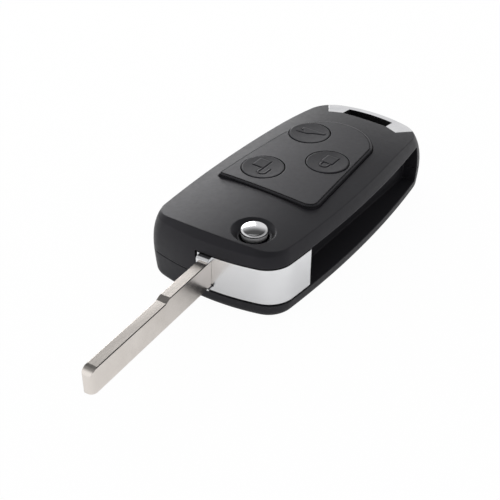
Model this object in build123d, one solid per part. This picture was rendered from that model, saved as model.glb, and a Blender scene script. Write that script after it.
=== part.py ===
from build123d import *
import os
from math import cos, hypot, radians, sin, sqrt

os.makedirs("parts", exist_ok=True)

# Folding key fob shell.  Millimetres.  The fob lies on its flat back, keys up.
# X runs across the case, Y along it from the blade end (nose) to the key ring end (tail),
# Z is up from the back.  The origin is at the middle of the back.

# Case, plan view at the waist where the two covers meet
case_half_width = 19.4
side_bow_radius = 276.0
side_bow_y = -8.0
nose_y = -39.2
nose_bow_radius = 55.7
nose_bow_x = -2.9
tail_y = 39.8
tail_bow_radius = 39.0
nose_corner_left = 5.0
nose_corner_right = 7.0
tail_corner = 8.0

# Case, heights
waist_z = 7.7
flank_z = 13.9
shoulder_z = 16.6
deck_z = 18.3
deck_crown_radius = 140.0
deck_fall_y = 14.0
deck_fall_radius = 150.0
back_edge_radius = 2.5

# Case, how far each level stands in from the waist: side, nose, tail
back_set = (0.5, 0.5, 0.9)
flank_set = (0.6, 0.2, 1.4)
shoulder_set = (1.5, 0.8, 2.9)
band_set = (2.4, 3.2, 4.5)
band_rise = 2.4

# Walls
wall = 1.6
back_thickness = 1.6
roof_z = 15.6
room_wall = 1.1
seam_groove = 0.25
tongue_thickness = 0.7
tongue_height = 1.0
tongue_clearance = 0.1
tongue_spare = 0.4

# Fold axis and the room that the head and the blade turn in
pivot_x = 7.4
pivot_y = -30.0
open_angle = 4.0
fold_travel = 176.0
room_radius = 13.3
room_floor_z = 3.8
room_roof_z = 14.0
channel_x = 12.8
channel_tail_in = 8.8
channel_end_y = tail_y - channel_tail_in

# Turning head
head_clearance = 0.4
head_floor_gap = 0.6
head_roof_gap = 0.3
head_edge = 0.25
jaw_reach = 9.9
jaw_cheek = 0.55
jaw_lip = 0.5
jaw_length = 4.0
jaw_foot = 0.8
jaw_relief_radius = 0.4
jaw_relief_depth = 1.5
flat_gap = 0.1
running_clearance = 0.05
post_radius = 2.5
post_height = 3.6
washer_thickness = 0.5
washer_radius = 6.0
sleeve_radius = 6.4
sleeve_bore_radius = 4.6
sleeve_floor = 1.4
collar_thickness = 0.8
collar_height = 1.1

# Blade
blade_thickness = 2.7
blade_offset = 7.28
blade_bottom_z = 6.0
blade_height = 6.85
blade_step = 0.65
blade_step_at = 24.1
blade_step_length = 1.5
blade_length = 50.9
blade_tip_drop = 2.2
blade_tip_run = 2.2
blade_tip_left = 0.7
blade_tip_right = 1.4
blade_edge = 0.15
tang_start = 2.4
tang_clearance = 0.02
blade_pin_radius = 0.9
blade_pin_wall = 0.35
blade_pin_slit = 0.4
blade_pin_at = 5.2
blade_pin_length = 5.9
blade_pin_past = 1.1

# Release button
button_radius = 3.15
button_gap = 0.3
button_top_z = 19.2
button_travel = 2.0
button_skirt = 2.8
button_edge = 0.3
button_crown_radius = 12.0
dish_radius = 5.3
dish_depth = 1.6
dish_land = 0.4
stud_radius = 2.1
stud_height = 1.5
shaft_radius = 2.6
flange_gap = 0.3
flange_thickness = 1.8
lug_width = 2.0
lug_gap = 0.3
lug_thickness = 1.0
lug_engagement = 0.8
lug_recess_gap = 0.5
spring_wire = 0.8
spring_mean_radius = 3.3
spring_turns = 4.0
spring_wire_sides = 6

# Keypad panel and its three keys
pad_front_y = -15.7
pad_front_half = 14.0
pad_side_y = 16.3
pad_right_half = 11.1
pad_left_half = 11.8
pad_far_y = 23.6
pad_side_bow = 0.4
pad_corner_left = 1.0
pad_corner_right = 3.0
pad_corner_far = 3.5
pad_corner_least = 0.3
pad_gap = 0.2
pad_seat_z = 16.9
pad_top_z = 19.0
pad_crown_radius = 320.0
pad_edge = 0.5
pad_skin = 1.3
pad_rim = 1.4
key_radius = 5.25
key_gap = 0.25
key_collar = 0.9
key_rise = 0.05
key_edge = 0.3
key_travel = 0.6
key_skin = 1.5
key_wall = 1.0
key_tab_reach = 0.75
key_tab_width = 3.0
key_tab_thickness = 0.8
key_tab_gap = 0.05
plunger_radius = 1.8
plunger_gap = 0.05
key_left_x = -6.1
key_right_x = 5.4
key_near_in = 8.3
key_right_in = 19.4
key_far_in = 29.2
keys = {
    "unlock_key": (key_left_x, pad_front_y + key_near_in),
    "boot_key": (key_left_x, pad_front_y + key_far_in),
    "lock_key": (key_right_x, pad_front_y + key_right_in),
}

# Switch mat, board tray and contacts
mat_bottom_z = 13.2
mat_thickness = 0.8
mat_rim = 1.2
mat_key_gap = 0.3
dome_radius = 2.6
dome_top_radius = 1.56
dome_height = 0.5
tray_gap = 0.4
tray_wall = 1.0
tray_floor = 1.0
tray_front_in = 1.1
tray_back_in = 18.6
tray_front_y = pad_front_y + tray_front_in
tray_back_y = tail_y - tray_back_in
ledge_width = 1.2
ledge_drop = 1.4
cell_radius = 10.3
cell_ring_wall = 0.9
cell_ring_height = 3.4
cell_x = -3.0
cell_y = 3.4
cell_hole_step = 4.0
contact_thickness = 0.4
contact_width = 5.0
contact_margin = 0.6
contact_reach = 2.0
contact_rail = 1.3
contact_slit = 0.4
contact_root = 4.5
contact_window = 2.5
contact_tip = 1.2
contact_tilt = 9.0
side_contact_width = 3.0
side_contact_in = 1.4
side_contact_foot = 2.4
side_contact_hook = 2.6

# Chip holder
chip_width = 6.2
chip_length = 12.4
chip_height = 3.4
chip_wall = 0.9
chip_finger = 1.6
chip_lip = 0.5
chip_lip_height = 0.6
chip_side_gap = 1.5
chip_tray_gap = 1.0

# Key ring loop
ear_x = 10.2
ear_tail_in = 10.3
ear_y = tail_y - ear_tail_in
ear_reach = 8.0
ear_slope = 1.62
ring_slot_half = 6.6
slot_tail_in = 7.9
slot_edge_y = tail_y - slot_tail_in
slot_edge_radius = 26.0
loop_bar = 1.9
loop_gap = 0.08
loop_lift = 1.2
loop_edge = 0.4
leg_x = 8.4
leg_width = 4.0
leg_height = 3.0
leg_length = 6.9
leg_end_y = ear_y - leg_length
leg_gap = 0.1
pin_radius = 1.2
pin_in = 4.5
pin_y = ear_y - pin_in
pin_seat = 2.0
boss_wall = 1.3

# Case screws
nose_screw_side_in = 6.0
nose_screw_in = 7.6
tail_screw_side_in = 6.6
tail_screw_in = 19.4
mid_screw_side_in = 4.2
mid_screw_in = 2.0
screw_spots = (
    (nose_screw_side_in - case_half_width, nose_y + nose_screw_in),
    (tail_screw_side_in - case_half_width, tail_y - tail_screw_in),
    (channel_x - mid_screw_side_in, tray_front_y + mid_screw_in),
)
screw_head_radius = 1.9
screw_head_height = 1.2
screw_radius = 0.95
screw_clearance = 0.15
screw_length = 9.0
screw_hole_spare = 0.5
screw_boss_radius = 2.4
screw_boss_height = 3.0
screw_sink = 0.2
screw_slot_width = 0.5
screw_slot_depth = 0.5

# Values that follow from the ones above
pivot = Pos(pivot_x, pivot_y, 0)
head_floor_z = room_floor_z + head_floor_gap
head_roof_z = room_roof_z - head_roof_gap
head_radius = room_radius - head_clearance
blade_frame = pivot * Rot(0, 0, open_angle)
chip_x = chip_width / 2 + chip_side_gap + wall - case_half_width
chip_y = tray_front_y - chip_tray_gap - chip_length / 2
joint_overlap = 0.5
tall = 60.0


def crossing(one, other, toward):
    """Where two circles (x, y, radius) cross, on the side given by toward."""
    dx = other[0] - one[0]
    dy = other[1] - one[1]
    gap = hypot(dx, dy)
    along = (one[2] ** 2 - other[2] ** 2 + gap**2) / (2 * gap)
    up = sqrt(one[2] ** 2 - along**2)
    spots = []
    for side in (-1, 1):
        x = one[0] + (along * dx - side * up * dy) / gap
        y = one[1] + (along * dy + side * up * dx) / gap
        spots.append((x, y))
    return max(spots, key=lambda spot: spot[0] * toward[0] + spot[1] * toward[1])


def outline(side, nose, tail):
    """Plan outline of the case, drawn in from the waist by three amounts."""
    half = case_half_width - side
    front = (nose_bow_x, nose_y + nose + nose_bow_radius, nose_bow_radius)
    left = (side_bow_radius - half, side_bow_y, side_bow_radius)
    right = (half - side_bow_radius, side_bow_y, side_bow_radius)
    back = (0, tail_y - tail - tail_bow_radius, tail_bow_radius)
    front_left = crossing(front, left, (-1, -1))
    front_right = crossing(front, right, (1, -1))
    back_right = crossing(back, right, (1, 1))
    back_left = crossing(back, left, (-1, 1))
    with BuildSketch() as sketch:
        with BuildLine():
            ThreePointArc(front_left, (nose_bow_x, nose_y + nose), front_right)
            ThreePointArc(front_right, (half, side_bow_y), back_right)
            ThreePointArc(back_right, (0, tail_y - tail), back_left)
            ThreePointArc(back_left, (-half, side_bow_y), front_left)
        make_face()
        for spot, radius in (
            (front_left, nose_corner_left),
            (front_right, nose_corner_right),
            (back_right, tail_corner),
            (back_left, tail_corner),
        ):
            fillet(sketch.vertices().sort_by_distance(spot)[0], radius)
    return sketch.face()


def case_form(inset):
    """The whole case as one smooth body, drawn in by inset on every side."""
    levels = (
        (0.0, back_set),
        (waist_z, (0.0, 0.0, 0.0)),
        (flank_z, flank_set),
        (shoulder_z, shoulder_set),
    )
    faces = []
    for z, (side, nose, tail) in levels:
        faces.append(Pos(0, 0, z) * outline(side + inset, nose + inset, tail + inset))
    side, nose, tail = band_set
    top = Pos(0, 0, shoulder_z + band_rise) * outline(side + inset, nose + inset, tail + inset)
    return loft(faces) + loft([faces[-1], top], ruled=True)


def deck_form(top_z, crown_radius):
    """Everything under the crowned deck, which falls away towards the tail."""
    crown = Pos(0, top_z - crown_radius) * Circle(crown_radius)
    profile = crown & Pos(0, top_z) * Rectangle(tall, tall)
    section = Plane(origin=(0, deck_fall_y, 0), x_dir=(1, 0, 0), z_dir=(0, -1, 0)) * profile
    straight = extrude(section, tall)
    axis = Axis((0, deck_fall_y, top_z - deck_fall_radius), (-1, 0, 0))
    return straight + revolve(section, axis, 14)


def block(x0, x1, y0, y1, z0, z1):
    """Box between three pairs of limits."""
    middle = Pos((x0 + x1) / 2, (y0 + y1) / 2, (z0 + z1) / 2)
    return middle * Box(x1 - x0, y1 - y0, z1 - z0)


def slab(z0, z1):
    """Everything between two heights."""
    return block(-tall, tall, -tall, tall, z0, z1)


def disc(radius, z0, z1):
    """Round column about its own Z axis."""
    return Pos(0, 0, (z0 + z1) / 2) * Cylinder(radius, z1 - z0)


def raised(plan, z0, z1):
    """Plan shape extruded between two heights."""
    return extrude(Pos(0, 0, z0) * plan, z1 - z0)


def room_plan(grow):
    """Plan of the head's round room and the blade's channel, grown outwards."""
    channel_width = tall - channel_x + grow
    channel_length = channel_end_y - pivot_y + grow
    middle = Pos(channel_x - grow + channel_width / 2, pivot_y + channel_length / 2)
    corner = Pos(pivot_x + tall / 2, pivot_y - tall / 2) * Rectangle(tall, tall)
    plan = pivot * Circle(room_radius + grow) + corner
    return plan + middle * Rectangle(channel_width, channel_length)


def pad_plan(inset):
    """Plan of the keypad panel, drawn in by inset."""
    front_left = (inset - pad_front_half, pad_front_y + inset)
    front_right = (pad_front_half - inset, pad_front_y + inset)
    side_right = (pad_right_half - inset, pad_side_y - inset)
    side_left = (inset - pad_left_half, pad_side_y - inset)
    bow = (
        (front_left[0] + side_left[0]) / 2 - pad_side_bow,
        (front_left[1] + side_left[1]) / 2,
    )
    with BuildSketch() as sketch:
        with BuildLine():
            Line(front_left, front_right)
            Line(front_right, side_right)
            ThreePointArc(side_right, (0, pad_far_y - inset), side_left)
            ThreePointArc(side_left, bow, front_left)
        make_face()
        for spot, radius in (
            (front_left, pad_corner_left),
            (front_right, pad_corner_right),
            (side_left, pad_corner_far),
            (side_right, pad_corner_far),
        ):
            fillet(sketch.vertices().sort_by_distance(spot)[0], max(radius - inset, pad_corner_least))
    return sketch.face()


def loop_plan(grow):
    """Plan of the tail that the key ring loop takes up, with its two slanted ears."""
    with BuildSketch() as sketch:
        with BuildLine():
            Polyline(
                (0, slot_edge_y - 1),
                (ring_slot_half, slot_edge_y - 1),
                (ear_x, ear_y),
                (ear_x + ear_reach, ear_y + ear_slope * ear_reach),
                (ear_x + ear_reach, tall),
                (-ear_x - ear_reach, tall),
                (-ear_x - ear_reach, ear_y + ear_slope * ear_reach),
                (-ear_x, ear_y),
                (-ring_slot_half, slot_edge_y - 1),
                (0, slot_edge_y - 1),
            )
        make_face()
    face = sketch.face()
    return offset(face, grow, kind=Kind.INTERSECTION) if grow else face


def bay_plan(level, inset):
    """Plan of what stands in the bay: the case's plan at a level, less walls and bosses."""
    gap = wall + tray_gap + inset
    plan = outline(level[0] + gap, level[1] + gap, level[2] + gap)
    length = tray_back_y - tray_front_y - 2 * inset
    middle = (tray_back_y + tray_front_y) / 2
    plan = plan & Pos(0, middle) * Rectangle(tall, length)
    plan -= room_plan(room_wall + tray_gap + inset)
    for x, y in screw_spots:
        plan -= Pos(x, y) * Circle(screw_boss_radius + tray_gap + inset)
    return plan.faces().sort_by(SortBy.AREA)[-1]


def slot_plan():
    """Plan of the key ring slot, out past the tail, with the covers' bowed edge."""
    column = Pos(0, slot_edge_y - ring_slot_half + tall / 2) * Rectangle(2 * ring_slot_half, tall)
    return column - Pos(0, slot_edge_y - slot_edge_radius) * Circle(slot_edge_radius)


# Solid forms that both covers and the head share
deck = deck_form(deck_z, deck_crown_radius)
case = case_form(0) & deck
case = fillet(case.edges().group_by(Axis.Z)[0], back_edge_radius)
inner = case_form(wall)
bay_end_y = ear_y - wall
room = raised(room_plan(0), room_floor_z, room_roof_z)
bay = inner & block(-tall, tall, -tall, bay_end_y, back_thickness, roof_z)
bay -= raised(room_plan(room_wall), 0, tall)
seam = raised(outline(-1, -1, -1) - outline(seam_groove, seam_groove, seam_groove), 0, seam_groove)
seam = Pos(0, 0, waist_z - seam_groove / 2) * seam
slot_column = raised(slot_plan(), -1, tall)
leg_z = waist_z - leg_height / 2
leg_top_z = leg_z + leg_height


def tongue_form(thickness, height, spare):
    """Locating tongue along the seam, standing on the bottom cover."""
    outer = outline(wall - thickness, wall - thickness, wall - thickness)
    inner_edge = outline(wall + spare, wall + spare, wall + spare)
    ring = raised(outer - inner_edge, waist_z, waist_z + height)
    ring -= raised(room_plan(room_wall), 0, tall)
    return ring & block(-tall, tall, -tall, bay_end_y, 0, tall)


def legs(grow):
    """The loop's two flat legs, grown by a gap for the slots they lie in."""
    both = []
    for side in (-1, 1):
        x = side * leg_x
        leg = block(
            x - leg_width / 2 - grow,
            x + leg_width / 2 + grow,
            leg_end_y - grow,
            ear_y + leg_height,
            leg_z - grow,
            leg_top_z + grow,
        )
        both.append(leg)
    return both


# Bottom cover
bottom_cover = case & slab(-1, waist_z)
bottom_cover -= room
bottom_cover -= bay
bottom_cover += tongue_form(tongue_thickness, tongue_height, 0)
bottom_cover += pivot * disc(post_radius, room_floor_z - joint_overlap, room_floor_z + post_height)
screw_joint_z = back_thickness + screw_boss_height
for x, y in screw_spots:
    bottom_cover += Pos(x, y) * disc(screw_boss_radius, back_thickness - joint_overlap, screw_joint_z)
for side in (-1, 1):
    pin_spot = Pos(side * leg_x, pin_y)
    seat = disc(pin_radius + boss_wall, back_thickness - joint_overlap, leg_z - leg_gap)
    bottom_cover += pin_spot * seat
    bottom_cover -= pin_spot * disc(pin_radius + leg_gap / 2, leg_z - pin_seat, leg_z)
screw_head_top = screw_sink + screw_head_height
for x, y in screw_spots:
    bottom_cover -= Pos(x, y) * disc(screw_radius + screw_clearance, -1, tall)
    bottom_cover -= Pos(x, y) * disc(screw_head_radius + screw_clearance, -1, screw_head_top)
bottom_cover -= raised(loop_plan(loop_gap), loop_lift - loop_gap, tall)
bottom_cover -= slot_column
for leg in legs(leg_gap):
    bottom_cover -= leg
bottom_cover -= seam

# Top cover
button_hole = button_radius + button_gap
dish_floor_z = deck_z - dish_depth
collar_radius = sleeve_bore_radius - running_clearance
top_cover = case & slab(waist_z, tall)
top_cover -= room
top_cover -= bay
for x, y in screw_spots:
    boss = disc(screw_boss_radius, screw_joint_z + flat_gap, roof_z + joint_overlap)
    boss_hole_z = screw_head_top + screw_length + screw_hole_spare
    top_cover += Pos(x, y) * boss
    top_cover -= Pos(x, y) * disc(screw_radius + running_clearance, 0, boss_hole_z)
for side in (-1, 1):
    pin_spot = Pos(side * leg_x, pin_y)
    seat = disc(pin_radius + boss_wall, leg_top_z + leg_gap, roof_z + joint_overlap)
    top_cover += pin_spot * seat
    top_cover -= pin_spot * disc(pin_radius + leg_gap / 2, leg_z, leg_top_z + pin_seat)
top_cover += pivot * disc(collar_radius, room_roof_z - collar_height, room_roof_z + joint_overlap)
tongue_groove = tongue_thickness + tongue_clearance
top_cover -= tongue_form(tongue_groove, tongue_height + tongue_clearance, tongue_spare)
lug_reach = sleeve_bore_radius + lug_thickness
top_cover -= pivot * (
    disc(lug_reach + lug_recess_gap, room_roof_z, room_roof_z + lug_engagement + lug_recess_gap)
    - disc(collar_radius, 0, tall)
)
top_cover -= pivot * disc(button_hole, 0, tall)
dish = Cone(button_hole + dish_land, dish_radius, dish_depth)
top_cover -= pivot * Pos(0, 0, dish_floor_z + dish_depth / 2) * dish
top_cover -= raised(pad_plan(0), pad_seat_z, tall)
top_cover -= raised(pad_plan(pad_gap + pad_rim), roof_z - 1, tall)
key_hole = key_radius + key_gap
key_well = raised(pad_plan(pad_gap), roof_z - 1, pad_seat_z + flat_gap)
for x, y in keys.values():
    top_cover -= Pos(x, y) * disc(key_hole + key_collar, 0, tall) & key_well
top_cover -= raised(loop_plan(loop_gap), 0, tall)
top_cover -= slot_column
for leg in legs(leg_gap):
    top_cover -= leg
top_cover -= seam

# Key ring loop
bar_hollow = block(-ring_slot_half, ring_slot_half, pin_y, tall, -1, tall) & case_form(loop_bar)
keyring_loop = (case & raised(loop_plan(0), loop_lift, tall)) - bar_hollow
for leg in legs(0):
    keyring_loop += leg & slab(leg_z, leg_top_z)
for side in (-1, 1):
    keyring_loop -= Pos(side * leg_x, pin_y) * disc(pin_radius + leg_gap / 2, 0, tall)
loop_pins = []
for side in (-1, 1):
    pin = disc(pin_radius, leg_z - pin_seat + leg_gap, leg_top_z + pin_seat - leg_gap)
    loop_pins.append(Pos(side * leg_x, pin_y) * pin)

# Case screws
case_screws = []
screw = disc(screw_head_radius, screw_sink, screw_head_top)
screw += disc(screw_radius, screw_head_top, screw_head_top + screw_length)
screw -= Pos(0, 0, screw_sink) * Box(tall, screw_slot_width, 2 * screw_slot_depth)
for x, y in screw_spots:
    case_screws.append(Pos(x, y) * screw)

# Keypad panel
pad_crown = Pos(0, 0, pad_top_z - pad_crown_radius) * Rot(90, 0, 0) * Cylinder(pad_crown_radius, 2 * tall)
keypad_panel = raised(pad_plan(pad_gap), pad_seat_z, tall) & pad_crown
keypad_panel = chamfer(keypad_panel.faces().sort_by(Axis.Z)[-1].edges(), pad_edge)
under_panel = raised(pad_plan(pad_gap + pad_rim), 0, pad_top_z - pad_skin)
for x, y in keys.values():
    under_panel -= Pos(x, y) * disc(key_hole + key_collar, 0, tall)
keypad_panel -= under_panel
for x, y in keys.values():
    keypad_panel -= Pos(x, y) * disc(key_hole, 0, tall)

# Keys: cups that slide in the panel, each with two stop tabs and a plunger
key_top_z = pad_top_z + key_rise
key_foot_z = pad_seat_z - key_tab_gap - key_tab_thickness
dome_top_z = mat_bottom_z + mat_thickness + dome_height
key_cap = disc(key_radius, key_foot_z, key_top_z)
key_cap = chamfer(key_cap.edges().group_by(Axis.Z)[-1], key_edge)
key_cap -= disc(key_radius - key_wall, 0, key_top_z - key_skin)
key_cap += disc(plunger_radius, dome_top_z + key_travel + plunger_gap, key_top_z - key_skin + 0.2)
for side in (-1, 1):
    tab = block(
        -key_tab_width / 2,
        key_tab_width / 2,
        min(side * (key_radius - key_wall), side * (key_hole + key_tab_reach)),
        max(side * (key_radius - key_wall), side * (key_hole + key_tab_reach)),
        key_foot_z,
        key_foot_z + key_tab_thickness,
    )
    key_cap += tab & disc(key_hole + key_tab_reach, 0, tall)
key_caps = {name: Pos(x, y) * key_cap for name, (x, y) in keys.items()}

# Switch mat: a sheet clamped by its rim, with a dome under each key
mat_top_z = mat_bottom_z + mat_thickness
switch_mat = raised(bay_plan(shoulder_set, 0), mat_bottom_z, roof_z)
switch_mat -= raised(bay_plan(shoulder_set, mat_rim), mat_top_z, tall)
dome = Cone(dome_radius, dome_top_radius, dome_height)
for x, y in keys.values():
    switch_mat -= Pos(x, y) * disc(key_hole + key_tab_reach + mat_key_gap, mat_top_z, tall)
    switch_mat += Pos(x, y, mat_top_z + dome_height / 2) * dome

# Board tray, with the ledge for the board and the ring for the coin cell
tray_top = mat_bottom_z
board_tray = raised(bay_plan(flank_set, 0), back_thickness, tray_top)
board_tray -= raised(bay_plan(flank_set, tray_wall), back_thickness + tray_floor, tall)
ledge = raised(bay_plan(flank_set, tray_wall / 2), tray_top - 2 * ledge_drop, tray_top - ledge_drop)
board_tray += ledge - raised(bay_plan(flank_set, tray_wall + ledge_width), 0, tall)
floor_top = back_thickness + tray_floor
cell = Pos(cell_x, cell_y)
board_tray += cell * (
    disc(cell_radius + cell_ring_wall, floor_top - 0.2, floor_top + cell_ring_height)
    - disc(cell_radius, 0, tall)
)
finger_gap = cell * block(-contact_width, contact_width, 0, tall, floor_top, tall)
board_tray -= finger_gap & slab(floor_top, floor_top + cell_ring_height + 0.1)
board_tray -= cell * disc(cell_radius - cell_hole_step, 0, floor_top + 0.1)
rib_half = contact_width / 2 + contact_margin
board_tray += cell * block(-cell_radius, cell_radius, -rib_half, rib_half, back_thickness, floor_top)

# Cell contacts: a sprung strip under the cell and a hook at its side
strip_top = floor_top + contact_thickness
strip_half = contact_width / 2
window_half = strip_half - contact_rail
tongue_half = window_half - contact_slit
strip_start = contact_margin - cell_radius
lower_contact = block(strip_start, contact_reach, -strip_half, strip_half, floor_top, strip_top)
lower_contact -= block(-contact_root, contact_window, -window_half, window_half, 0, tall)
tongue = block(0, contact_root + contact_tip, -tongue_half, tongue_half, 0, contact_thickness)
lower_contact += Pos(-contact_root, 0, floor_top) * Rot(0, -contact_tilt, 0) * tongue
lower_contact = cell * lower_contact
half = side_contact_width / 2
upright = cell_radius - side_contact_in
hook_top = floor_top + cell_ring_height
side_contact = block(-half, half, upright, upright + contact_thickness, floor_top, hook_top)
foot_end = upright - side_contact_foot
side_contact += block(-half, half, foot_end, upright + contact_thickness, floor_top, strip_top)
hook_end = upright + side_contact_hook
side_contact += block(-half, half, upright, hook_end, hook_top - contact_thickness, hook_top)
side_contact = cell * side_contact

# Chip holder: an open cradle with two snap fingers, beside the head
chip_holder = block(-chip_width / 2, chip_width / 2, -chip_length / 2, chip_length / 2, 0, chip_height)
chip_holder -= block(
    -chip_width / 2 + chip_wall,
    chip_width / 2 - chip_wall,
    -chip_length / 2 + chip_wall,
    chip_length / 2 - chip_wall,
    chip_wall,
    chip_height + 1,
)
for side in (-1, 1):
    x = side * (chip_width / 2 - chip_wall - chip_lip / 2)
    finger = Box(chip_lip, 2 * chip_finger, chip_lip_height)
    chip_holder += Pos(x, 0, chip_height - chip_lip_height / 2) * finger
chip_holder = Pos(chip_x, chip_y, back_thickness) * chip_holder

# Turning head: the case's own corner form, cut round so that it turns in its room,
# and the same from the other side so that it sits flush with the blade folded too
fold_axis = Axis((pivot_x, pivot_y, 0), (0, 0, 1))
pivot_head = case & case.rotate(fold_axis, -fold_travel)
pivot_head &= pivot * disc(head_radius, head_floor_z, head_roof_z)
jaw = block(
    -blade_offset - blade_thickness / 2 - jaw_cheek,
    -blade_offset + blade_thickness / 2,
    -jaw_reach,
    jaw_length - jaw_reach,
    blade_bottom_z - jaw_foot,
    head_roof_z,
)
jaw = chamfer(jaw.edges().group_by(Axis.Y)[0].group_by(Axis.Z)[-1], jaw_lip)
pivot_head += blade_frame * jaw
relief = Pos(-blade_offset + blade_thickness / 2, -jaw_reach, blade_bottom_z) * Rot(90, 0, 0)
pivot_head -= blade_frame * relief * Cylinder(jaw_relief_radius, 2 * jaw_relief_depth)
pivot_head -= pivot * disc(sleeve_radius, 0, tall)
half_slot = blade_thickness / 2 + tang_clearance
pivot_head -= blade_frame * block(
    -blade_offset - half_slot,
    -blade_offset + half_slot,
    -tall,
    -tang_start + tang_clearance,
    blade_bottom_z - tang_clearance,
    blade_bottom_z + blade_height + tang_clearance,
)
pin_z = blade_bottom_z + blade_height / 2
pin_inner = -blade_offset + blade_thickness / 2 + blade_pin_past
pin_line = blade_frame * Pos(pin_inner - blade_pin_length / 2, -blade_pin_at, pin_z) * Rot(0, 90, 0)
pin_hole = blade_frame * Pos(pin_inner - tall / 2, -blade_pin_at, pin_z) * Rot(0, 90, 0)
pin_hole = pin_hole * Cylinder(blade_pin_radius + tang_clearance, tall)
pivot_head -= pin_hole

# Blade pin: a slit spring pin through the head and the blade's tang
blade_pin = Cylinder(blade_pin_radius, blade_pin_length)
blade_pin -= Cylinder(blade_pin_radius - blade_pin_wall, blade_pin_length + 1)
blade_pin -= Pos(blade_pin_radius, 0, 0) * Box(2 * blade_pin_radius, blade_pin_slit, blade_pin_length + 1)
blade_pin = pin_line * blade_pin

# Blade: side profile extruded to its thickness, with a stepped back and a rolled tip
blade_top_z = blade_bottom_z + blade_height
with BuildSketch(Plane.YZ) as blade_side:
    with BuildLine():
        Polyline(
            (-blade_length, blade_top_z - blade_step - blade_tip_drop),
            (-blade_length, blade_bottom_z),
            (-tang_start, blade_bottom_z),
            (-tang_start, blade_top_z),
            (-blade_step_at, blade_top_z),
            (-blade_step_at - blade_step_length, blade_top_z - blade_step),
            (-blade_length + blade_tip_run, blade_top_z - blade_step),
        )
        ThreePointArc(
            (-blade_length + blade_tip_run, blade_top_z - blade_step),
            (
                -blade_length + blade_tip_run * 0.3,
                blade_top_z - blade_step - blade_tip_drop * 0.35,
            ),
            (-blade_length, blade_top_z - blade_step - blade_tip_drop),
        )
    make_face()
key_blade = extrude(blade_side.sketch, blade_thickness / 2, both=True)
for side, radius in ((0, blade_tip_left), (-1, blade_tip_right)):
    tip_edges = key_blade.edges().filter_by(Axis.Z).group_by(Axis.Y)[0].sort_by(Axis.X)
    key_blade = fillet(tip_edges[side], radius)
long_edges = key_blade.edges().filter_by(Axis.Y).filter_by(lambda edge: edge.length > blade_step_at / 2)
key_blade = chamfer(long_edges, blade_edge)
key_blade = blade_frame * Pos(-blade_offset, 0, 0) * key_blade
key_blade -= pin_hole

# Hub sleeve: turns on the bottom cover's post and guides the release plunger
flange_top_z = room_roof_z - collar_height - flat_gap
flange_bottom_z = flange_top_z - flange_thickness
sleeve_floor_z = head_floor_z + sleeve_floor
hub_sleeve = disc(sleeve_radius, head_floor_z, head_roof_z)
hub_sleeve -= disc(sleeve_bore_radius, sleeve_floor_z, tall)
hub_sleeve -= disc(post_radius + running_clearance, 0, tall)
slot_half = lug_width / 2 + lug_gap
lug_slot = block(-slot_half, slot_half, -tall, tall, flange_bottom_z - button_travel - lug_gap, tall)
hub_sleeve -= lug_slot & disc(lug_reach + lug_gap, 0, tall)
hub_sleeve = blade_frame * hub_sleeve

# Release plunger with its flange and two lock lugs
cap_foot_z = button_top_z - button_skirt
release_plunger = disc(shaft_radius, flange_bottom_z, cap_foot_z)
release_plunger += disc(stud_radius, cap_foot_z, cap_foot_z + stud_height)
release_plunger += disc(sleeve_bore_radius - flange_gap, flange_bottom_z, flange_top_z)
lug = block(-lug_width / 2, lug_width / 2, -lug_reach, lug_reach, flange_bottom_z, flange_top_z)
tall_lug = block(
    -lug_width / 2, lug_width / 2, -lug_reach, lug_reach, flange_bottom_z, room_roof_z + lug_engagement
)
lug += tall_lug - disc(collar_radius + lug_gap / 2, 0, tall)
release_plunger += lug & disc(lug_reach, 0, tall)
release_plunger = blade_frame * release_plunger

# Release cap
release_cap = disc(button_radius, cap_foot_z, button_top_z)
release_cap &= Pos(0, 0, button_top_z - button_crown_radius) * Sphere(button_crown_radius)
rims = release_cap.edges().filter_by(lambda edge: edge.is_closed)
release_cap = fillet(rims.group_by(Axis.Z)[-1], button_edge)
release_cap -= disc(stud_radius + tang_clearance, 0, cap_foot_z + stud_height + tang_clearance)
release_cap = pivot * release_cap

# Hinge spring and thrust washer
spring_low = sleeve_floor_z + spring_wire / 2 + tang_clearance
spring_high = flange_bottom_z - spring_wire / 2 - tang_clearance
coil = Helix((spring_high - spring_low) / spring_turns, spring_high - spring_low, spring_mean_radius)
wire_section = Plane(origin=coil @ 0, z_dir=coil % 0) * RegularPolygon(spring_wire / 2, spring_wire_sides)
hinge_spring = pivot * Pos(0, 0, spring_low) * sweep(wire_section, coil)
thrust_washer = disc(washer_radius, room_floor_z, room_floor_z + washer_thickness)
thrust_washer = pivot * (thrust_washer - disc(post_radius + flat_gap, 0, tall))

parts = {
    "top_cover": top_cover,
    "bottom_cover": bottom_cover,
    "keypad_panel": keypad_panel,
    **key_caps,
    "switch_mat": switch_mat,
    "board_tray": board_tray,
    "lower_contact": lower_contact,
    "side_contact": side_contact,
    "chip_holder": chip_holder,
    "keyring_loop": keyring_loop,
    "loop_pins": Compound(children=loop_pins),
    "case_screws": Compound(children=case_screws),
    "thrust_washer": thrust_washer,
    "pivot_head": pivot_head,
    "hub_sleeve": hub_sleeve,
    "key_blade": key_blade,
    "blade_pin": blade_pin,
    "hinge_spring": hinge_spring,
    "release_plunger": release_plunger,
    "release_cap": release_cap,
}
for name, shape in parts.items():
    export_step(shape, f"parts/{name}.step")
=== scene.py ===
import math

import bmesh
import bpy
from mathutils import Matrix, Vector

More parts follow.
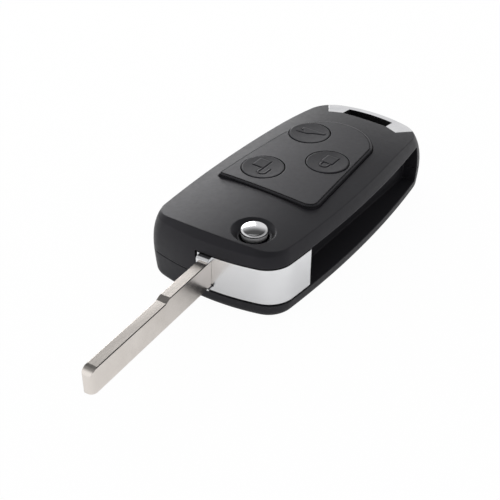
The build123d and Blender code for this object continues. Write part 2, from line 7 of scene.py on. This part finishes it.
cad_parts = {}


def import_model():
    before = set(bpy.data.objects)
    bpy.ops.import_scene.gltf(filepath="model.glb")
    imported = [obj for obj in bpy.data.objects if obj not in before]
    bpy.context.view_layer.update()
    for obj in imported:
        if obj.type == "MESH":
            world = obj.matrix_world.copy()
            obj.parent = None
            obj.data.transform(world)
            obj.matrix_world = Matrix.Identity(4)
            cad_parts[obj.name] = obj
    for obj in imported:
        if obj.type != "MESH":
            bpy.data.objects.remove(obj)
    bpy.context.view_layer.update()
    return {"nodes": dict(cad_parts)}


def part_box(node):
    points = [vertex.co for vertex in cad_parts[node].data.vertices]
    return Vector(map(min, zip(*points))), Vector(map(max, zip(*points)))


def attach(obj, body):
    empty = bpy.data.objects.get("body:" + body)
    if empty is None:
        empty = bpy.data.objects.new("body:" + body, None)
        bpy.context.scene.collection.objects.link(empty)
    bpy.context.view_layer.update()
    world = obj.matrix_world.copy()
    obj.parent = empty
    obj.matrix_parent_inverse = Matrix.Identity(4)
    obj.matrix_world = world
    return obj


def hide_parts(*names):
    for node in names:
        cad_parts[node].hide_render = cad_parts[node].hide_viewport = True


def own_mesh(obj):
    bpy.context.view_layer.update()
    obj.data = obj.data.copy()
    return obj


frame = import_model()
NODES = frame["nodes"]
MM = 0.001
scene = bpy.context.scene

# Edges as the materials see them: radii in mm, and the cosine between the face and its rounded normal
EDGE_SAMPLES = 6
EDGE_TURNED = 0.88
EDGE_FLAT = 0.998
RUBBED_RADIUS = 0.35

# Dark line round the keypad panel: painted shade of the gap between panel and deck, lengths in mm.  It fades
# out between the two distances from a key's middle
RIM_RADIUS = 0.60
RIM_TURNED = 0.965
RIM_SHADE_COLOUR = (0.003, 0.003, 0.003)
KEY_HOLE_EDGE = 5.9
KEY_HOLE_CLEAR = 6.1

# Bluish sheen of the plastics, and how much smoother their rubbed edges are
COOL_SHEEN = (0.94, 0.93, 1.0)
RUBBED_SHINE = 0.10

# Depth of the plastics' grain and of the metals' hairlines, in mm
GRAIN_DEPTH = 0.02
HAIRLINE_DEPTH = 0.01

# Faces of CAD pieces that get a second material, as painted shade and painted dark reflection: places in mm,
# and how far a normal points along an axis
NOTCH = Vector((2.2, -40.29, 6.0))
NOTCH_RADIUS = 0.46
NOTCH_LIP = 0.05
NOTCH_DEPTH = 1.8
SLOT_HALF_WIDTH = 6.7
SLOT_START_Y = 29
SLOT_END_WALL = -0.3
SLOT_SIDE_WALL = 0.9
OPEN_ANGLE = math.radians(4)
BLADE_ACROSS = Vector((math.cos(OPEN_ANGLE), math.sin(OPEN_ANGLE), 0))
GROUND_LEAST = 0.3
GROUND_MOST = 0.92

# Key caps, lengths in mm.  The grid and the first ring lie that far inside the flat top's rim
KEY_SPOKES = 220
KEY_STEP = 0.085
KEY_GRID_IN = 0.5
KEY_RING_IN = 0.25
KEY_BOWL = 0.16
KEY_RIM = 0.22
KEY_RIM_STEPS = 6
KEY_SIDE_RING = 1.2
KEY_WALL = 1.0
KEY_ROOF = 1.6
KEY_ROOF_MIDDLE = 0.6

# Signs on the keys, lengths in mm.  The groove round a sign is deepest where its edge faces +X and -Y
STROKE_HALF_WIDTH = 0.28
SIGN_RISE = 0.05
SIGN_SLOPE_STEP = 0.05
GROOVE_HALF_WIDTH = 0.17
GROOVE_REACH = 1.3
GROOVE_DEPTH = 0.20
GROOVE_LEAST = 0.12
GROOVE_LEVEL = 0.45
GROOVE_ALONG_X = 0.42
GROOVE_ALONG_Y = 0.56

# Release button's crown, lengths in mm
CAP_SPOKES = 120
CAP_DOME_STEPS = 10
CAP_SHOULDER_STEPS = 12
CAP_SHOULDER = 0.75
CAP_SWELL = 0.42
CAP_DRAFT = math.radians(10)
CAP_BORE = 2.12
CAP_BORE_DEPTH = 1.52

# Studio: lengths in metres, angles in degrees
FLOOR_SIZE = 6
FLOOR_DARK = (0.90, 0.90, 0.90)
FLOOR_LIGHT = (0.92, 0.92, 0.92)
FLOOR_SEEN = 0.97
FLOOR_MIRRORED = 0.10
SOFT_LIGHT = 0.83
LAMPS = (
    # name, azimuth, elevation, distance, size, power in watts
    ("back_left", -127, 18, 0.7, (0.42, 0.38), 1.6),
    ("overhead", 0, 80, 0.7, (0.5, 0.5), 0.24),
    ("front_left", -45, 45, 0.7, (0.4, 0.3), 0.05),
)

# Camera: angles in degrees, the rest in mm, its place measured from the target along its own directions
CAMERA_AZIMUTH = 35.68
CAMERA_ELEVATION = 35.53
CAMERA_LENS = 72
CAMERA_SENSOR = 36
CAMERA_TARGET = Vector((0, -16, 19.2))
CAMERA_RIGHT = -3.10
CAMERA_UP = -14.29
CAMERA_BACK = 234.49


# Shader nodes
def set_range(node, low, high, start, end):
    """A Map Range node goes from low to high while its value goes from start to end."""
    for name, value in (("From Min", start), ("From Max", end), ("To Min", low), ("To Max", high)):
        node.inputs[name].default_value = value


class Tree:
    """A material with its shader, and short ways to add and link nodes."""

    def __init__(self, name):
        self.material = bpy.data.materials.new(name)
        self.material.use_nodes = True
        self.nodes = self.material.node_tree.nodes
        self.links = self.material.node_tree.links
        self.nodes.clear()
        self.out = self.nodes.new("ShaderNodeOutputMaterial")
        self.bsdf = self.nodes.new("ShaderNodeBsdfPrincipled")
        self.links.new(self.bsdf.outputs[0], self.out.inputs[0])
        self.coord = self.nodes.new("ShaderNodeTexCoord")

    def add(self, kind, **values):
        """New node, with its sockets or properties set by name."""
        node = self.nodes.new(kind)
        for key, value in values.items():
            if key in node.inputs:
                node.inputs[key].default_value = value
            else:
                setattr(node, key, value)
        return node

    def link(self, a, b):
        self.links.new(a, b)

    def mapped(self, scale):
        """The piece's own coordinates, scaled."""
        node = self.add("ShaderNodeMapping", Scale=scale)
        self.link(self.coord.outputs["Object"], node.inputs["Vector"])
        return node.outputs[0]

    def noise(self, vector, scale, detail, rough):
        node = self.add("ShaderNodeTexNoise", Scale=scale, Detail=detail, Roughness=rough)
        self.link(vector, node.inputs["Vector"])
        return node.outputs["Fac"]

    def ramp(self, fac, low, high, start, end):
        node = self.add("ShaderNodeMapRange")
        set_range(node, low, high, start, end)
        self.link(fac, node.inputs["Value"])
        return node.outputs[0]

    def mix(self, fac, one, two):
        """Colour between one and two, each a colour or a socket."""
        node = self.add("ShaderNodeMix", data_type="RGBA")
        for socket, value in ((node.inputs[6], one), (node.inputs[7], two)):
            if isinstance(value, tuple):
                socket.default_value = (*value, 1.0)
            else:
                self.link(value, socket)
        self.link(fac, node.inputs[0])
        return node.outputs[2]

    def math(self, operation, one, two):
        """Clamped sum, difference or product of one and two, each a number or a socket."""
        node = self.add("ShaderNodeMath", operation=operation, use_clamp=True)
        for socket, value in ((node.inputs[0], one), (node.inputs[1], two)):
            if isinstance(value, (int, float)):
                socket.default_value = value
            else:
                self.link(value, socket)
        return node.outputs[0]

    def rounded(self, radius):
        """Normal that runs round the edges."""
        bevel = self.add("ShaderNodeBevel", samples=EDGE_SAMPLES)
        bevel.inputs["Radius"].default_value = radius * MM
        return bevel.outputs[0]

    def edges(self, radius, turned=EDGE_TURNED):
        """1 on sharp edges, 0 on flat ground."""
        geometry = self.add("ShaderNodeNewGeometry")
        dot = self.add("ShaderNodeVectorMath", operation="DOT_PRODUCT")
        self.link(self.rounded(radius), dot.inputs[0])
        self.link(geometry.outputs["Normal"], dot.inputs[1])
        return self.ramp(dot.outputs["Value"], low=1.0, high=0.0, start=turned, end=EDGE_FLAT)

    def away_from_keys(self):
        """The edge mask, left out round the three key holes."""
        mask = self.edges(RIM_RADIUS, RIM_TURNED)
        flat = self.add("ShaderNodeVectorMath", operation="MULTIPLY")
        flat.inputs[1].default_value = (1, 1, 0)
        self.link(self.coord.outputs["Object"], flat.inputs[0])
        for node in ("lock_key", "unlock_key", "boot_key"):
            low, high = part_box(node)
            gap = self.add("ShaderNodeVectorMath", operation="DISTANCE")
            gap.inputs[1].default_value = ((low.x + high.x) / 2, (low.y + high.y) / 2, 0)
            self.link(flat.outputs[0], gap.inputs[0])
            outside = self.ramp(gap.outputs["Value"], 0.0, 1.0, KEY_HOLE_EDGE * MM, KEY_HOLE_CLEAR * MM)
            mask = self.math("MULTIPLY", mask, outside)
        return mask

    def finish_normal(self, height, strength, depth, round_edges):
        """Fine relief on top of softly rounded edges."""
        bump = self.add("ShaderNodeBump", Strength=strength, Distance=depth * MM)
        self.link(height, bump.inputs["Height"])
        self.link(self.rounded(round_edges), bump.inputs["Normal"])
        self.link(bump.outputs[0], self.bsdf.inputs["Normal"])


# Materials
def moulded(name, dark, light, worn, rough, grain, specular, wear, round_edges, painted_shade_rim=False):
    """Matte moulded plastic: fine spark-eroded grain, slow tone drift and rubbed edges.

    With painted_shade_rim the piece's edges are a dark and dull line, painted shade of the gap round the
    piece, except round the key holes.
    """
    t = Tree(name)
    plain = t.mapped((1, 1, 1))
    drift = t.noise(plain, scale=70, detail=3, rough=0.6)
    smears = t.noise(plain, scale=420, detail=4, rough=0.65)
    specks = t.noise(plain, scale=900, detail=5, rough=0.7)
    fine = t.noise(plain, scale=2600, detail=2, rough=0.5)
    patchy = t.ramp(smears, low=0.1, high=1.0, start=0.35, end=0.75)
    rubbed = t.math("MULTIPLY", t.edges(RUBBED_RADIUS), patchy)
    colour = t.mix(t.ramp(drift, low=0.0, high=1.0, start=0.3, end=0.7), dark, light)
    colour = t.mix(t.math("MULTIPLY", rubbed, wear), colour, worn)
    level = t.ramp(specks, low=rough - 0.05, high=rough + 0.06, start=0.3, end=0.7)
    level = t.math("SUBTRACT", level, t.math("MULTIPLY", rubbed, RUBBED_SHINE))
    t.bsdf.inputs["Specular IOR Level"].default_value = specular
    t.bsdf.inputs["Specular Tint"].default_value = (*COOL_SHEEN, 1.0)
    if painted_shade_rim:
        # Painted shade: the rim gets a near-black colour, more roughness and no specular tint, standing for
        # the shadow in the gap round the panel
        rim = t.away_from_keys()
        colour = t.mix(rim, colour, RIM_SHADE_COLOUR)
        level = t.math("ADD", level, rim)
        t.link(t.mix(rim, COOL_SHEEN, (0, 0, 0)), t.bsdf.inputs["Specular Tint"])
    t.link(colour, t.bsdf.inputs["Base Color"])
    t.link(level, t.bsdf.inputs["Roughness"])
    t.finish_normal(fine, grain, GRAIN_DEPTH, round_edges)
    return t.material


def plated(name, colour, tint, rough, streak, round_edges, grain, hair, metallic=1.0):
    """Bright metal: hairline polish along one direction, faint haze and soft edges."""
    t = Tree(name)
    lines = t.noise(t.mapped(streak), scale=1.0, detail=5, rough=0.6)
    haze = t.noise(t.mapped((1, 1, 1)), scale=160, detail=4, rough=0.6)
    face = t.mix(t.ramp(haze, low=0.0, high=1.0, start=0.35, end=0.7), colour, tint)
    hairs = t.ramp(lines, low=0.0, high=hair, start=0.40, end=0.70)
    level = t.ramp(haze, low=rough, high=rough + 0.04, start=0.3, end=0.7)
    t.link(face, t.bsdf.inputs["Base Color"])
    t.link(t.math("ADD", level, hairs), t.bsdf.inputs["Roughness"])
    t.bsdf.inputs["Metallic"].default_value = metallic
    t.finish_normal(lines, grain, HAIRLINE_DEPTH, round_edges)
    return t.material


CASE = moulded(
    "case_plastic", dark=(0.0130, 0.0127, 0.0150), light=(0.0160, 0.0156, 0.0182), worn=(0.050, 0.050, 0.053),
    rough=0.40, grain=0.14, specular=0.26, wear=0.35, round_edges=0.40,
)
PAD = moulded(
    "keypad_plastic", dark=(0.0160, 0.0157, 0.0180), light=(0.0190, 0.0186, 0.0212),
    worn=(0.045, 0.045, 0.048), rough=0.43, grain=0.16, specular=0.40, wear=0.20, round_edges=0.14,
    painted_shade_rim=True,
)
KEY = moulded(
    "key_plastic", dark=(0.0120, 0.0117, 0.0140), light=(0.0150, 0.0146, 0.0172), worn=(0.040, 0.040, 0.043),
    rough=0.46, grain=0.16, specular=0.28, wear=0.35, round_edges=0.08,
)
# Inner plastic of the hidden parts, also used as painted shade on the pivot head's notch and the loop's slot
# walls
INNER_PLASTIC_AND_SHADE = moulded(
    "inner_plastic_and_painted_shade", dark=(0.014, 0.014, 0.015), light=(0.018, 0.018, 0.019), worn=(0.05, 0.05, 0.05),
    rough=0.55, grain=0.15, specular=0.3, wear=0.3, round_edges=0.14,
)
RUBBER = moulded(
    "mat_rubber", dark=(0.014, 0.014, 0.015), light=(0.018, 0.018, 0.020), worn=(0.03, 0.03, 0.03),
    rough=0.72, grain=0.25, specular=0.25, wear=0.2, round_edges=0.14,
)
CHROME = plated(
    "bright_chrome", colour=(0.66, 0.66, 0.67), tint=(0.62, 0.62, 0.64), rough=0.06,
    streak=(500, 500, 3000), round_edges=0.12, grain=0.02, hair=0.03,
)
LOOP = plated(
    "loop_plating", colour=(0.65, 0.65, 0.66), tint=(0.53, 0.53, 0.55), rough=0.06,
    streak=(500, 500, 3000), round_edges=0.12, grain=0.02, hair=0.03,
)
# The release button's side: a paler, less metallic copy of the chrome, painted reflection that makes the side
# look bright
SKIRT_PAINTED_REFLECTION = plated(
    "button_skirt_painted_reflection", colour=(0.80, 0.80, 0.81), tint=(0.72, 0.72, 0.73), rough=0.34,
    streak=(700, 700, 4000), round_edges=0.06, grain=0.05, hair=0.05, metallic=0.35,
)
SATIN = plated(
    "satin_metal", colour=(0.88, 0.885, 0.90), tint=(0.83, 0.835, 0.85), rough=0.20,
    streak=(300, 300, 40), round_edges=0.15, grain=0.0, hair=0.03,
)
BLADE = plated(
    "blade_metal", colour=(0.84, 0.79, 0.745), tint=(0.77, 0.72, 0.675), rough=0.18,
    streak=(1300, 60, 1600), round_edges=0.10, grain=0.02, hair=0.05,
)
# Dark metal for the blade's ground edge: painted dark reflection, standing for the chamfer mirroring dark
# surroundings
PAINTED_DARK_EDGE = plated(
    "blade_edge_painted_dark", colour=(0.10, 0.097, 0.094), tint=(0.06, 0.058, 0.056), rough=0.30,
    streak=(1300, 60, 1600), round_edges=0.02, grain=0.02, hair=0.05,
)
STEEL = plated(
    "pin_metal", colour=(0.55, 0.55, 0.56), tint=(0.46, 0.46, 0.47), rough=0.28,
    streak=(1500, 1500, 1500), round_edges=0.06, grain=0.05, hair=0.05,
)
BRASS = plated(
    "contact_metal", colour=(0.78, 0.62, 0.33), tint=(0.70, 0.53, 0.26), rough=0.22,
    streak=(2500, 400, 2500), round_edges=0.04, grain=0.05, hair=0.05,
)

LOOKS = {
    "top_cover": CASE, "bottom_cover": CASE, "keypad_panel": PAD, "switch_mat": RUBBER,
    "board_tray": INNER_PLASTIC_AND_SHADE, "lower_contact": BRASS, "side_contact": BRASS, "chip_holder": INNER_PLASTIC_AND_SHADE,
    "keyring_loop": LOOP, "loop_pins": STEEL, "case_screws": STEEL, "thrust_washer": INNER_PLASTIC_AND_SHADE,
    "pivot_head": SATIN, "hub_sleeve": SATIN, "key_blade": BLADE, "blade_pin": STEEL,
    "hinge_spring": STEEL, "release_cap": CHROME, "release_plunger": INNER_PLASTIC_AND_SHADE,
    "lock_key": KEY, "unlock_key": KEY, "boot_key": KEY,
}


def dress(obj, material):
    """One material on the whole piece."""
    obj.data.materials.clear()
    obj.data.materials.append(material)
    for polygon in obj.data.polygons:
        polygon.material_index = 0


def repaint(node, material, wanted):
    """Second material on the faces of a CAD piece that pass the test, given their middle in mm and normal."""
    obj = NODES[node]
    obj.data.materials.append(material)
    for polygon in obj.data.polygons:
        middle = obj.matrix_world @ polygon.center / MM
        facing = obj.matrix_world.to_3x3() @ polygon.normal
        if wanted(middle, facing):
            polygon.material_index = 1


def in_notch(middle, facing):
    """The small notch at the blade's root gets the dark inner plastic: painted shade, a dark hole in the
    bright jaw.
    """
    beside = math.hypot(middle.x - NOTCH.x, middle.z - NOTCH.z)
    return beside < NOTCH_RADIUS and NOTCH_LIP < middle.y - NOTCH.y < NOTCH_DEPTH


def in_slot(middle, facing):
    """The slot's walls get the dark inner plastic instead of the plating: painted shade, for the plated walls
    in shade inside the slot.
    """
    near = abs(middle.x) < SLOT_HALF_WIDTH and middle.y > SLOT_START_Y
    return near and (facing.y < SLOT_END_WALL or abs(facing.x) > SLOT_SIDE_WALL)


def on_ground_edge(middle, facing):
    """The ground edge between the blade's back and its near side gets dark metal: painted dark reflection of
    the chamfer.
    """
    return GROUND_LEAST < facing.dot(BLADE_ACROSS) < GROUND_MOST and facing.z > GROUND_LEAST


# Signs, upright as seen from the tail: closed outlines, and strokes with their half width, in mm
def arc(cx, cy, radius, start, end, steps=20):
    """Points on an arc, angles in degrees."""
    points = []
    for i in range(steps + 1):
        angle = math.radians(start + (end - start) * i / steps)
        points.append((cx + radius * math.cos(angle), cy + radius * math.sin(angle)))
    return points


def bow(cx, cy, radius, left_foot, right_foot):
    """Padlock shackle: two arms and the round bow between them."""
    return [(cx - radius, left_foot)] + arc(cx, cy, radius, 180, 0) + [(cx + radius, right_foot)]


def closed_padlock():
    body = [(-1.65, -3.0), (1.65, -3.0), (1.65, 0.4), (-1.65, 0.4)]
    return [body], [(bow(0, 1.4, 1.0, 0.4, 0.4), STROKE_HALF_WIDTH)]


def open_padlock():
    body = [(-0.4, -3.2), (2.9, -3.2), (2.9, 0.4), (-0.4, 0.4)]
    return [body], [(bow(-1.05, 1.9, 0.95, 0.1, 0.4), STROKE_HALF_WIDTH)]


def car_with_boot():
    """A car's side with its boot lid up."""
    side = [
        (-3.7, -1.9), (-3.7, -1.2), (-2.3, -0.8), (-0.7, -0.2), (0.1, 0.45), (1.0, 0.7), (3.5, 1.0),
        (3.4, 0.7), (1.5, 0.3), (2.2, -0.4), (2.9, -0.6), (2.9, -1.9),
    ]
    return [side], []


SIGNS = {
    "lock_key": ("lock_key_cap", closed_padlock(), "lock_button"),
    "unlock_key": ("unlock_key_cap", open_padlock(), "unlock_button"),
    "boot_key": ("boot_key_cap", car_with_boot(), "boot_button"),
}


def inside(px, py, outline):
    """Even and odd test for a point in a closed outline."""
    hit = False
    for a, b in zip(outline, outline[1:] + outline[:1]):
        if (a[1] > py) != (b[1] > py) and px < a[0] + (py - a[1]) * (b[0] - a[0]) / (b[1] - a[1]):
            hit = not hit
    return hit


def segment_distance(px, py, a, b):
    dx, dy = b[0] - a[0], b[1] - a[1]
    length = dx * dx + dy * dy
    t = 0.0 if length == 0 else max(0.0, min(1.0, ((px - a[0]) * dx + (py - a[1]) * dy) / length))
    return math.hypot(px - a[0] - t * dx, py - a[1] - t * dy)


def sign_gap(px, py, sign):
    """Distance to the sign's edge, below zero inside it."""
    areas, bands = sign
    best = math.inf
    for outline in areas:
        gap = min(segment_distance(px, py, a, b) for a, b in zip(outline, outline[1:] + outline[:1]))
        best = min(best, -gap if inside(px, py, outline) else gap)
    for line, half in bands:
        best = min(best, min(segment_distance(px, py, a, b) for a, b in zip(line, line[1:])) - half)
    return best


def smooth(value):
    """Soft step from 0 to 1."""
    value = max(0.0, min(1.0, value))
    return value * value * (3 - 2 * value)


# Turned and moulded forms, in mm
def round_place(node):
    """A round CAD piece's middle, radius, top and foot."""
    low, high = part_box(node)
    cx, cy = (low.x + high.x) / 2 / MM, (low.y + high.y) / 2 / MM
    return cx, cy, (high.x - low.x) / 2 / MM, high.z / MM, low.z / MM


def ring(bm, cx, cy, r, z, spokes):
    """Vertices on a level circle."""
    verts = []
    for k in range(spokes):
        angle = 2 * math.pi * k / spokes
        verts.append(bm.verts.new(((cx + r * math.cos(angle)) * MM, (cy + r * math.sin(angle)) * MM, z * MM)))
    return verts


def band(bm, one, two, slot=0):
    """Faces between two rings."""
    spokes = len(one)
    for k in range(spokes):
        face = bm.faces.new((one[k], two[k], two[(k + 1) % spokes], one[(k + 1) % spokes]))
        face.material_index = slot


def smooth_piece(bm, name, *materials):
    """Smooth object from the mesh that was built, with its materials."""
    bmesh.ops.recalc_face_normals(bm, faces=bm.faces)
    mesh = bpy.data.meshes.new(name)
    bm.to_mesh(mesh)
    bm.free()
    for material in materials:
        mesh.materials.append(material)
    for polygon in mesh.polygons:
        polygon.use_smooth = True
    obj = bpy.data.objects.new(name, mesh)
    scene.collection.objects.link(obj)
    return obj


def key_height(x, y, top, flat, sign):
    """Height of the key's top: a shallow bowl, with the sign standing in its groove."""
    gap = sign_gap(-x, -y, sign)
    across = (sign_gap(-x - SIGN_SLOPE_STEP, -y, sign) - gap) / SIGN_SLOPE_STEP
    along = (sign_gap(-x, -y - SIGN_SLOPE_STEP, sign) - gap) / SIGN_SLOPE_STEP
    turned = smooth(GROOVE_LEVEL + GROOVE_ALONG_X * across - GROOVE_ALONG_Y * along)
    deep = GROOVE_LEAST + (1 - GROOVE_LEAST) * turned
    rise = SIGN_RISE * smooth(0.5 - gap / KEY_STEP)
    groove = GROOVE_DEPTH * deep * smooth(GROOVE_REACH - abs(gap) / GROOVE_HALF_WIDTH)
    bowl = KEY_BOWL * (1 - (math.hypot(x, y) / flat) ** 2)
    return top - bowl + rise - groove


def signed_grid(bm, cx, cy, top, flat, sign):
    """Square grid over the key's top, so that the strokes stay even.  Returns its border edges."""
    grid = {}
    inner = flat - KEY_GRID_IN
    half = int(inner / KEY_STEP)
    for i in range(-half, half + 1):
        for j in range(-half, half + 1):
            x, y = i * KEY_STEP, j * KEY_STEP
            if math.hypot(x, y) <= inner:
                z = key_height(x, y, top, flat, sign)
                grid[i, j] = bm.verts.new(((cx + x) * MM, (cy + y) * MM, z * MM))
    for i, j in grid:
        corners = [grid.get(k) for k in ((i, j), (i + 1, j), (i + 1, j + 1), (i, j + 1))]
        if all(corners):
            bm.faces.new(corners)
    loose = [v for v in bm.verts if not v.link_faces]
    bmesh.ops.delete(bm, geom=loose, context="VERTS")
    return [e for e in bm.edges if len(e.link_faces) == 1]


def signed_key(name, node, sign):
    """The key's cap with its sign raised on the top, on the CAD key's place and size."""
    cx, cy, radius, top, foot = round_place(node)
    flat = radius - KEY_RIM
    bm = bmesh.new()
    border = signed_grid(bm, cx, cy, top, flat, sign)
    first_r = flat - KEY_RING_IN
    last = ring(bm, cx, cy, first_r, key_height(first_r, 0, top, flat, sign), KEY_SPOKES)
    first_edges = [bm.edges.new((last[k], last[(k + 1) % KEY_SPOKES])) for k in range(KEY_SPOKES)]
    bmesh.ops.bridge_loops(bm, edges=border + first_edges)
    profile = []
    for k in range(KEY_RIM_STEPS + 1):
        angle = math.pi / 2 * k / KEY_RIM_STEPS
        profile.append((flat + KEY_RIM * math.sin(angle), top - KEY_RIM * (1 - math.cos(angle))))
    profile += [
        (radius, top - KEY_SIDE_RING),
        (radius, foot),
        (radius - KEY_WALL, foot),
        (radius - KEY_WALL, top - KEY_ROOF),
        (KEY_ROOF_MIDDLE, top - KEY_ROOF),
    ]
    for r, z in profile:
        new = ring(bm, cx, cy, r, z, KEY_SPOKES)
        band(bm, last, new)
        last = new
    bm.faces.new(last)
    return smooth_piece(bm, name, KEY)


def crown_profile(radius, top, foot):
    """The release cap as it is turned, from the middle out and down, and where its side starts."""
    lean = math.atan(2 * CAP_SWELL * (1 - CAP_SHOULDER / radius) / radius)
    dome = radius - CAP_SHOULDER * (1 - math.sin(lean))
    centre_r = dome - CAP_SHOULDER * math.sin(lean)
    centre_z = top - CAP_SWELL * (dome / radius) ** 2 - CAP_SHOULDER * math.cos(lean)
    profile = []
    for k in range(1, CAP_DOME_STEPS + 1):
        r = dome * k / CAP_DOME_STEPS
        profile.append((r, top - CAP_SWELL * (r / radius) ** 2))
    for k in range(1, CAP_SHOULDER_STEPS + 1):
        angle = lean + (math.pi / 2 + CAP_DRAFT - lean) * k / CAP_SHOULDER_STEPS
        profile.append((centre_r + CAP_SHOULDER * math.sin(angle), centre_z + CAP_SHOULDER * math.cos(angle)))
    side_start = len(profile) - 1
    side_r, side_z = profile[-1]
    profile += [
        (side_r - (side_z - foot) * math.tan(CAP_DRAFT), foot),
        (CAP_BORE, foot),
        (CAP_BORE, foot + CAP_BORE_DEPTH),
    ]
    return profile, side_start


def crown_of_button():
    """The release button: a domed crown, a round shoulder and a side drawn in to the foot, duller and paler
    as painted reflection.
    """
    cx, cy, radius, top, foot = round_place("release_cap")
    profile, side_start = crown_profile(radius, top, foot)
    bm = bmesh.new()
    rings = [ring(bm, cx, cy, r, z, CAP_SPOKES) for r, z in profile]
    middle = bm.verts.new((cx * MM, cy * MM, top * MM))
    for k in range(CAP_SPOKES):
        bm.faces.new((middle, rings[0][k], rings[0][(k + 1) % CAP_SPOKES]))
    for place, (one, two) in enumerate(zip(rings, rings[1:])):
        band(bm, one, two, slot=0 if place < side_start else 1)
    bm.faces.new(rings[-1]).material_index = 1
    obj = smooth_piece(bm, "release_crown", CHROME, SKIRT_PAINTED_REFLECTION)
    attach(obj, "release")
    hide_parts("release_cap")


def squeeze_spring():
    """The coil gets its own copy of its mesh."""
    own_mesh(NODES["hinge_spring"])


# Floor, light and camera
def floor():
    """Paper that glows nearly white to the camera, with a trace of the fob's shadow left in it."""
    bpy.ops.mesh.primitive_plane_add(size=FLOOR_SIZE, location=(0, 0, 0))
    plane = bpy.context.object
    plane.name = "floor"
    t = Tree("floor_paper")
    grain = t.noise(t.mapped((1, 1, 1)), scale=90, detail=3, rough=0.5)
    paper = t.mix(t.ramp(grain, low=0, high=1, start=0.3, end=0.7), FLOOR_DARK, FLOOR_LIGHT)
    t.link(paper, t.bsdf.inputs["Base Color"])
    t.bsdf.inputs["Roughness"].default_value = 0.9
    glow = t.add("ShaderNodeEmission", Strength=1.0)
    path = t.add("ShaderNodeLightPath")
    seen = t.math("ADD", path.outputs["Is Camera Ray"], path.outputs["Is Transmission Ray"])
    mirrored = t.math("MULTIPLY", path.outputs["Is Glossy Ray"], FLOOR_MIRRORED)
    mixer = t.add("ShaderNodeMixShader")
    t.link(t.math("ADD", t.math("MULTIPLY", seen, FLOOR_SEEN), mirrored), mixer.inputs[0])
    t.link(t.bsdf.outputs[0], mixer.inputs[1])
    t.link(glow.outputs[0], mixer.inputs[2])
    t.link(mixer.outputs[0], t.out.inputs[0])
    plane.data.materials.append(t.material)


def world():
    """Studio round the fob: white to the camera, and to reflections a bright wall under a dark ceiling."""
    studio = bpy.data.worlds.new("studio")
    scene.world = studio
    studio.use_nodes = True
    nodes, links = studio.node_tree.nodes, studio.node_tree.links
    nodes.clear()
    out = nodes.new("ShaderNodeOutputWorld")
    path = nodes.new("ShaderNodeLightPath")
    coord = nodes.new("ShaderNodeTexCoord")
    split = nodes.new("ShaderNodeSeparateXYZ")
    links.new(coord.outputs["Generated"], split.inputs[0])

    def slope(axis, low, high, start, end):
        """Soft step from low to high along one direction."""
        node = nodes.new("ShaderNodeMapRange")
        node.interpolation_type = "SMOOTHSTEP"
        set_range(node, low, high, start, end)
        links.new(split.outputs[axis], node.inputs["Value"])
        return node.outputs[0]

    def background(strength):
        shader = nodes.new("ShaderNodeBackground")
        shader.inputs["Color"].default_value = (1, 1, 1, 1)
        if isinstance(strength, float):
            shader.inputs["Strength"].default_value = strength
        else:
            links.new(strength, shader.inputs["Strength"])
        return shader.outputs[0]

    def choose(factor, one, two):
        mixer = nodes.new("ShaderNodeMixShader")
        links.new(factor, mixer.inputs[0])
        links.new(one, mixer.inputs[1])
        links.new(two, mixer.inputs[2])
        return mixer.outputs[0]

    wall = nodes.new("ShaderNodeMath")
    wall.operation = "MULTIPLY"
    links.new(slope("Z", low=1.00, high=0.10, start=0.48, end=0.77), wall.inputs[0])
    links.new(slope("X", low=1.00, high=0.50, start=-0.40, end=0.50), wall.inputs[1])
    mirrored = choose(path.outputs["Is Glossy Ray"], background(SOFT_LIGHT), background(wall.outputs[0]))
    clear = choose(path.outputs["Is Transmission Ray"], mirrored, background(1.0))
    seen = choose(path.outputs["Is Camera Ray"], clear, background(1.0))
    links.new(seen, out.inputs[0])


def direction(azimuth, elevation):
    """Unit vector to a lamp or camera, angles in degrees.  Azimuth 0 is on the -Y side, 90 on the +X side."""
    a, e = math.radians(azimuth), math.radians(elevation)
    return Vector((math.sin(a) * math.cos(e), -math.cos(a) * math.cos(e), math.sin(e)))


def softbox(name, azimuth, elevation, distance, size, power):
    """Area light that faces the fob."""
    away = direction(azimuth, elevation)
    data = bpy.data.lights.new(name, "AREA")
    data.shape = "RECTANGLE"
    data.size, data.size_y = size
    data.energy = power
    lamp = bpy.data.objects.new(name, data)
    scene.collection.objects.link(lamp)
    lamp.location = away * distance
    lamp.rotation_euler = away.to_track_quat("Z", "Y").to_euler()


def camera():
    azimuth = math.radians(CAMERA_AZIMUTH)
    back = direction(CAMERA_AZIMUTH, CAMERA_ELEVATION)
    right = Vector((math.cos(azimuth), math.sin(azimuth), 0))
    up = back.cross(right)
    data = bpy.data.cameras.new("camera")
    data.sensor_width = CAMERA_SENSOR
    data.lens = CAMERA_LENS
    data.clip_start = 0.01
    data.clip_end = 20
    obj = bpy.data.objects.new("camera", data)
    scene.collection.objects.link(obj)
    place = (right * CAMERA_RIGHT + up * CAMERA_UP + back * CAMERA_BACK + CAMERA_TARGET) * MM
    obj.matrix_world = Matrix((
        (right.x, up.x, back.x, place.x),
        (right.y, up.y, back.y, place.y),
        (right.z, up.z, back.z, place.z),
        (0, 0, 0, 1),
    ))
    scene.camera = obj


for node, material in LOOKS.items():
    dress(NODES[node], material)
for node, (name, sign, body) in SIGNS.items():
    cap = signed_key(name, node, sign)
    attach(cap, body)
    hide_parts(node)
crown_of_button()
# Painted shade in the notch of the pivot head
repaint("pivot_head", INNER_PLASTIC_AND_SHADE, in_notch)
# Painted shade on the walls of the loop's slot
repaint("keyring_loop", INNER_PLASTIC_AND_SHADE, in_slot)
# Painted dark reflection on the blade's ground edge
repaint("key_blade", PAINTED_DARK_EDGE, on_ground_edge)
squeeze_spring()
floor()
world()
for lamp in LAMPS:
    softbox(*lamp)
camera()

scene.view_settings.view_transform = "Standard"
